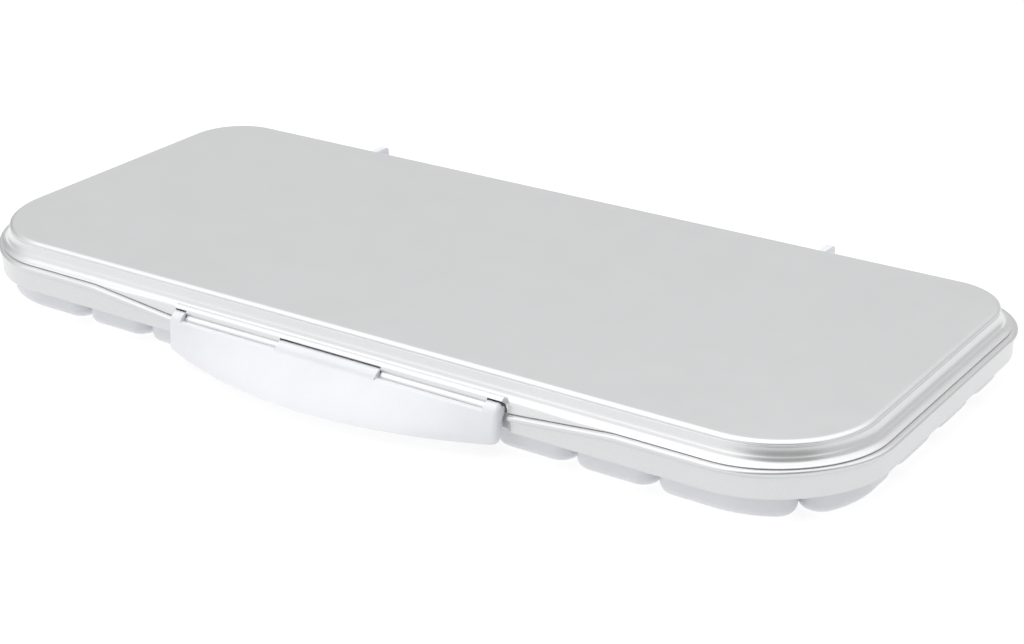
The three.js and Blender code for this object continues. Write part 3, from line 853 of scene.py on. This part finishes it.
def hinge_arm(word, side, material):
    """The lid's half of a hinge: a bridge on the lid's edge, an inner arm and an outer ear."""
    outer_x = arm_high.x
    inner_x = arm_low.x
    ear_x = outer_x - 2.6
    arm_x = inner_x + 2.8
    bridge_top = 20.1
    ear_top = arm_high.z
    lug = arm_high.y - CENTRE_Y - HINGE_Y
    ear_back = HINGE_Y - 2.7
    corner = 1.6
    seat_y = HALF_Y + FLANGE_GROW + GAP
    seat_z = LID_BOTTOM + 0.1
    foot_y = seat_y - 2.4
    low = [(foot_y, bridge_top - 0.2), (seat_y, seat_z)]
    count = 60

    def closed(path):
        return low + resample(path, count) + [(foot_y + 0.4, bridge_top)]

    ear = low + resample(
        [(HINGE_Y - lug, seat_z)]
        + arc((HINGE_Y, HINGE_Z), lug, 180, 410, 26)
        + curve((ear_back + 1.2, seat_z + 0.8), (ear_back, seat_z + 1.4), (ear_back, seat_z + 2.6), 6)
        + arc((ear_back - corner, ear_top - corner), corner, 0, 90, 10)
        + [(69.5, ear_top), (69.25, ear_top - 0.2)],
        count,
    ) + [(foot_y, bridge_top)]
    bridge = closed([(seat_y + 3, seat_z), (seat_y + 3, bridge_top)])
    radius = 4.2
    arm = closed(
        [(HINGE_Y - radius, seat_z - 1)]
        + arc((HINGE_Y, HINGE_Z), radius, 180, 423, 30)
        + [(seat_y + 2, bridge_top)]
    )
    stretches = [(inner_x, arm_x, arm), (arm_x, ear_x, bridge), (ear_x, outer_x, ear)]
    loops = []
    for from_x, to_x, outline in stretches:
        loops += [across(outline, side * from_x), across(outline, side * to_x)]
    return add_piece(
        f"lid_hinge_arm_{word}_fine", [skin(loops)], f"lid_hinge_arm_{word}", "lid", material,
        bevel=EDGE_BEVEL,
    )


def hinge_bracket(word, side, material):
    """The base's half of a hinge: a barrel on a short web."""
    from_x = bracket_low.x
    to_x = bracket_high.x
    radius = (bracket_high.z - bracket_low.z) / 2
    seat_y = HALF_Y + SKIRT_GROW + GAP
    web = [(seat_y, 14.6), (seat_y, 9.4)]
    barrel = arc((HINGE_Y, HINGE_Z), radius, 230, 490, 40)
    section = web + barrel
    loops = [across(section, side * x) for x in (from_x, to_x)]
    return add_piece(
        f"base_hinge_bracket_{word}_fine", [skin(loops)], f"base_hinge_bracket_{word}", "base",
        material, bevel=EDGE_BEVEL,
    )


def hinge_pin(word, side, material):
    """A steel pin with a low domed head."""
    tip = pin_low.x
    end = pin_high.x
    head = (pin_high.z - pin_low.z) / 2
    shaft = 1.5
    under = end - 1.2
    rings = [(tip, shaft - 0.4), (tip + 0.4, shaft), (under, shaft)]
    rings += [(under, head - 0.2), (under + 0.2, head)]
    for i in range(7):
        a = math.radians(15 * i)
        rings.append((under + 0.5 + 0.7 * math.sin(a), head * math.cos(a * 0.96)))
    loops = [(side * x, radius) for x, radius in rings]
    return add_piece(
        f"hinge_pin_{word}_fine", [round_bar(loops, HINGE_Y, HINGE_Z)], f"hinge_pin_{word}", "base",
        material,
    )


# ---- Materials ----

class Finish:
    """A node material with a few short ways to add noise, ramps and bumps."""

    def __init__(self, name, roughness, metallic=0.0, **sockets):
        self.material = bpy.data.materials.new(name)
        self.material.use_nodes = True
        self.tree = self.material.node_tree
        self.shader = self.tree.nodes["Principled BSDF"]
        self.shader.inputs["Roughness"].default_value = roughness
        self.shader.inputs["Metallic"].default_value = metallic
        for socket, value in sockets.items():
            self.shader.inputs[socket.replace("_", " ")].default_value = value
        self.place = self.tree.nodes.new("ShaderNodeTexCoord").outputs["Object"]

    def node(self, kind, **settings):
        made = self.tree.nodes.new("ShaderNode" + kind)
        for name, value in settings.items():
            setattr(made, name, value)
        return made

    def link(self, source, target):
        self.tree.links.new(source, target)

    def noise(self, size, detail, stretch=(1, 1, 1)):
        """Noise whose features are about size millimetres wide."""
        mapping = self.node("Mapping")
        mapping.inputs["Scale"].default_value = stretch
        self.link(self.place, mapping.inputs["Vector"])
        made = self.node("TexNoise")
        made.inputs["Scale"].default_value = 1 / (size * MM)
        made.inputs["Detail"].default_value = detail
        self.link(mapping.outputs["Vector"], made.inputs["Vector"])
        return made.outputs["Fac"]

    def ramp(self, value, stops):
        """Values or colours from a range of noise: stops are (position, colour or number)."""
        made = self.node("ValToRGB")
        elements = made.color_ramp.elements
        while len(elements) < len(stops):
            elements.new(0.5)
        for element, (position, colour) in zip(elements, stops):
            element.position = position
            shade = (colour,) * 3 if isinstance(colour, (int, float)) else colour
            element.color = (*shade, 1)
        self.link(value, made.inputs["Fac"])
        return made.outputs["Color"]

    def multiply(self, first, second):
        made = self.node("Mix", data_type="RGBA", blend_type="MULTIPLY")
        made.inputs["Factor"].default_value = 1
        self.link(first, made.inputs["A"])
        self.link(second, made.inputs["B"])
        return made.outputs["Result"]

    def bump(self, value, height, before=None):
        """A bump of about height millimetres."""
        made = self.node("Bump")
        made.inputs["Distance"].default_value = height * MM
        self.link(value, made.inputs["Height"])
        if before is not None:
            self.link(before, made.inputs["Normal"])
        return made.outputs["Normal"]

    def set(self, socket, value):
        self.link(value, self.shader.inputs[socket])


def shaded(shade, stops):
    """The stops of a colour ramp, all made darker by the same share."""
    return [(position, tuple(shade * part for part in colour)) for position, colour in stops]


def silver_finish(name, shade):
    """Satin silver paint on plastic: fine metal flakes and faint clouding, almost even."""
    finish = Finish(name, 0.3, 0.72, Coat_Weight=0.15, Coat_Roughness=0.2)
    tones = shaded(shade, [(0.3, (0.71, 0.714, 0.722)), (0.7, (0.75, 0.754, 0.762))])
    flakes = finish.ramp(finish.noise(0.4, 3), tones)
    clouds = finish.ramp(finish.noise(28, 2), [(0.3, 0.988), (0.7, 1.0)])
    finish.set("Base Color", finish.multiply(flakes, clouds))
    finish.set("Roughness", finish.ramp(finish.noise(9, 3), [(0.3, 0.275), (0.7, 0.305)]))
    ripple = finish.bump(finish.noise(6, 2), 0.0015)
    finish.set("Normal", finish.bump(finish.noise(0.5, 2), 0.001, ripple))
    return finish.material


def white_finish(name, shade):
    """Cool white moulded plastic with a faint eggshell texture."""
    finish = Finish(name, 0.34, Subsurface_Weight=0.12, Subsurface_Scale=0.0012, IOR=1.47)
    tones = shaded(shade, [(0.3, (0.80, 0.813, 0.845)), (0.7, (0.83, 0.842, 0.87))])
    tone = finish.ramp(finish.noise(14, 3), tones)
    grain = finish.ramp(finish.noise(0.6, 2), [(0.3, 0.98), (0.7, 1.0)])
    finish.set("Base Color", finish.multiply(tone, grain))
    finish.set("Roughness", finish.ramp(finish.noise(6, 3), [(0.3, 0.32), (0.7, 0.37)]))
    swell = finish.bump(finish.noise(7, 2), 0.004)
    finish.set("Normal", finish.bump(finish.noise(0.55, 2), 0.002, swell))
    return finish.material


def seal_finish():
    """Soft matt silicone with a dusting of paler bloom."""
    finish = Finish("seal_silicone", 0.7, Subsurface_Weight=0.2, Subsurface_Scale=0.001)
    bloom = [(0.3, (0.66, 0.67, 0.69)), (0.7, (0.74, 0.745, 0.76))]
    finish.set("Base Color", finish.ramp(finish.noise(3, 4), bloom))
    finish.set("Roughness", finish.ramp(finish.noise(2, 2), [(0.3, 0.62), (0.7, 0.8)]))
    finish.set("Normal", finish.bump(finish.noise(0.7, 3), 0.01))
    return finish.material


def steel_finish():
    """Bright drawn steel with fine lines along its length."""
    finish = Finish("drawn_steel", 0.28, 1.0)
    lines = finish.noise(0.25, 3, (0.04, 1, 1))
    finish.set("Base Color", finish.ramp(lines, [(0.3, (0.52, 0.53, 0.55)), (0.7, (0.66, 0.67, 0.68))]))
    finish.set("Roughness", finish.ramp(lines, [(0.3, 0.22), (0.7, 0.36)]))
    finish.set("Normal", finish.bump(lines, 0.003))
    return finish.material


# ---- Stage ----

def make_camera():
    """The view on the case from its front right, from above."""
    azimuth = math.radians(34.5458)
    elevation = math.radians(23.8435)
    roll = math.radians(-0.7926)
    top_centre = Vector((0, CENTRE_Y, CASE_TOP)) * MM
    offset = Vector((375.7, -521.3, 260.3)) * MM
    forward = Vector((-math.sin(azimuth), math.cos(azimuth), 0)) * math.cos(elevation)
    forward.z = -math.sin(elevation)
    level = Vector((math.cos(azimuth), math.sin(azimuth), 0))
    right = level * math.cos(roll) + level.cross(forward) * math.sin(roll)
    up = right.cross(forward)
    data = bpy.data.cameras.new("camera")
    data.lens = 73.61
    data.sensor_width = 36
    data.clip_start = 0.05
    data.clip_end = 20
    camera = bpy.data.objects.new("camera", data)
    turn = Matrix((right, up, -forward)).transposed().to_4x4()
    camera.matrix_world = Matrix.Translation(top_centre + offset) @ turn
    bpy.context.scene.collection.objects.link(camera)
    bpy.context.scene.camera = camera


def make_floor():
    """A wide pale floor that glows by itself, so that it stays white round the case."""
    bpy.ops.mesh.primitive_plane_add(size=8, location=(0, 0, 0))
    floor = bpy.context.object
    floor.name = "floor"
    finish = Finish("floor_white", 0.9)
    finish.set("Base Color", finish.ramp(finish.noise(400, 1), [(0.3, 0.25), (0.7, 0.26)]))
    finish.shader.inputs["Emission Color"].default_value = (1, 1, 1, 1)
    finish.shader.inputs["Emission Strength"].default_value = 0.82
    finish.shader.inputs["Specular IOR Level"].default_value = 0.0
    floor.data.materials.append(finish.material)


def make_light(name, position, aim, size, power):
    data = bpy.data.lights.new(name, "AREA")
    data.shape = "RECTANGLE"
    data.size, data.size_y = size
    data.energy = power
    light = bpy.data.objects.new(name, data)
    light.location = position
    light.rotation_mode = "QUATERNION"
    light.rotation_quaternion = (Vector(aim) - Vector(position)).to_track_quat("-Z", "Y")
    bpy.context.scene.collection.objects.link(light)


def make_world():
    """A light tent: brighter overhead and at the front left, darker at its opening and far left."""
    world = bpy.data.worlds.new("light_tent")
    world.use_nodes = True
    bpy.context.scene.world = world
    tree = world.node_tree
    background = tree.nodes["Background"]
    coordinates = tree.nodes.new("ShaderNodeTexCoord")
    direction = coordinates.outputs["Generated"]

    def facing(aim, stops):
        """A ramp over how closely a direction faces aim."""
        dot = tree.nodes.new("ShaderNodeVectorMath")
        dot.operation = "DOT_PRODUCT"
        dot.inputs[1].default_value = Vector(aim).normalized()
        tree.links.new(direction, dot.inputs[0])
        ramp = tree.nodes.new("ShaderNodeValToRGB")
        ramp.color_ramp.interpolation = "EASE"
        elements = ramp.color_ramp.elements
        while len(elements) < len(stops):
            elements.new(0.5)
        for element, (position, level) in zip(elements, stops):
            element.position = position
            element.color = (level, level, level, 1)
        tree.links.new(dot.outputs["Value"], ramp.inputs["Fac"])
        return ramp.outputs["Color"]

    def combined(first, second, mode):
        mix_node = tree.nodes.new("ShaderNodeMix")
        mix_node.data_type = "RGBA"
        mix_node.blend_type = mode
        mix_node.inputs["Factor"].default_value = 1
        tree.links.new(first, mix_node.inputs["A"])
        tree.links.new(second, mix_node.inputs["B"])
        return mix_node.outputs["Result"]

    sky = facing((0, 0, 1), [(0.0, 0.43), (0.5, 0.43), (0.72, 0.99)])
    opening = facing((0.6, -0.66, 0.36), [(0.78, 1.0), (0.93, 0.3)])
    far_left = facing((-0.92, 0.33, 0.14), [(0.93, 1.0), (0.99, 0.55)])
    softbox = facing((-0.55, -0.75, 0.35), [(0.72, 0.0), (0.92, 0.31)])
    shaded_sky = combined(sky, combined(opening, far_left, "MULTIPLY"), "MULTIPLY")
    tree.links.new(combined(shaded_sky, softbox, "ADD"), background.inputs["Color"])
    background.inputs["Strength"].default_value = 1.5


# ---- The case ----

make_camera()
make_world()
make_floor()
make_light("overhead", (-0.3, 0.1, 1.6), (0, 0, 0), (1.4, 1.2), 2)

silver = silver_finish("lid_silver", 1.0)
# Same silver paint as the lid, made darker for the base frame: painted shade standing in for the dimmer
# light its skirt catches.
frame_silver_shaded = silver_finish("frame_silver_shaded", 0.92)
white = white_finish("white_plastic", 0.96)
# Same white plastic as the latch, made darker for the well tray: painted shade standing in for the
# shadow the wells sit in below the case.
tray_white_shaded = white_finish("tray_plastic_shaded", 0.89)
seal = seal_finish()
steel = steel_finish()

base_frame(frame_silver_shaded)
well_tray(tray_white_shaded)
lid_shell(silver)
lid_liner(white)
lid_seal(seal)
latch_flap(white)
latch_rod(steel)
for word, side in (("left", -1), ("right", 1)):
    hinge_arm(word, side, white)
    hinge_bracket(word, side, white)
    hinge_pin(word, side, steel)

bpy.context.scene.view_settings.view_transform = "Standard"
